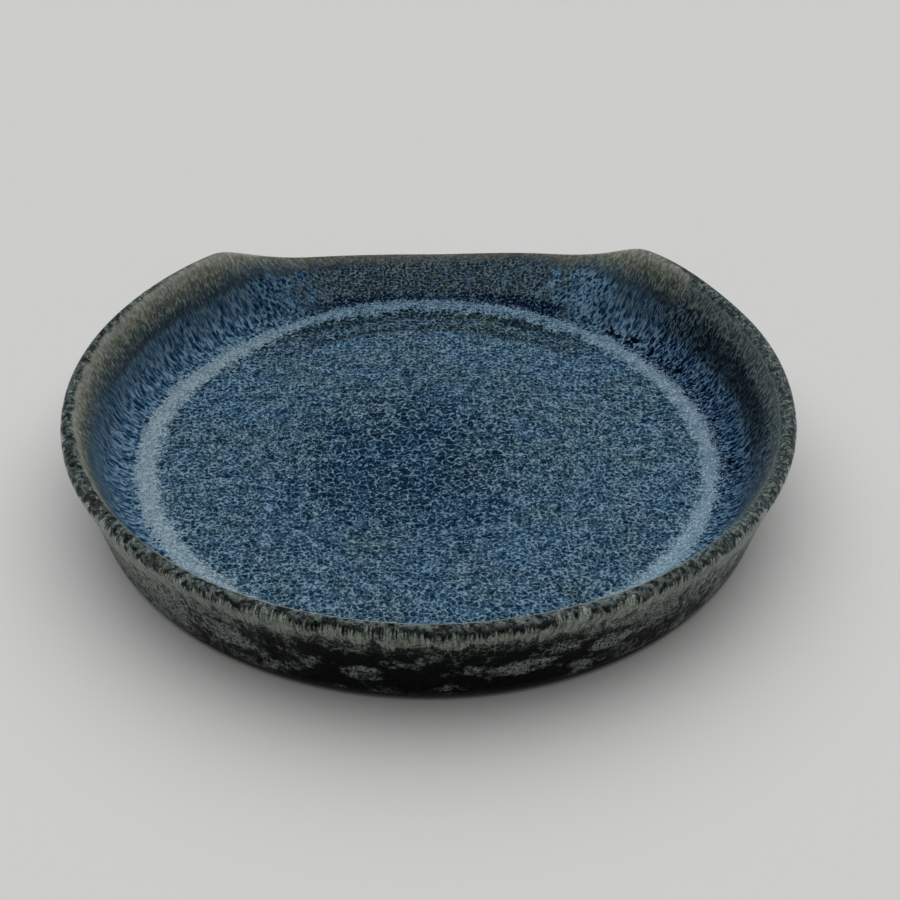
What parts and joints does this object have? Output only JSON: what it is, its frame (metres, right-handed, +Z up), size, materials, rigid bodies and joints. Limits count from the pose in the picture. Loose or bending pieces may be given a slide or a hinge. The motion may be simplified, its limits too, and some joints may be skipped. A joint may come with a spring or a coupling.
{
  "type": "spoon rest",
  "caption": "Shallow round stoneware dish with a low wall, pressed down at the back into a saddle between two shoulders; holds a cooking spoon while its handle lies over the saddle.",
  "frame": {"origin": "middle of the flat base, on the table's surface", "axes": "+Z up out of the dish, +Y from the dish's middle to the saddle at the back"},
  "size_m": [0.1398, 0.1466, 0.022],
  "materials": {
    "fired_clay": "bare, fine-grained and matt",
    "blue_glaze": "satin, mottled blue with a pale pooled ring",
    "olive_rim_glaze": "satin, olive and green-black with pale flecks",
    "dark_outer_glaze": "satin, near black with grey-green clouds"
  },
  "bodies": {
    "root": {"stoneware_body": "fired_clay", "liner_glaze": "blue_glaze", "rim_glaze": "olive_rim_glaze", "outer_glaze": "dark_outer_glaze"}
  },
  "joints": []
}
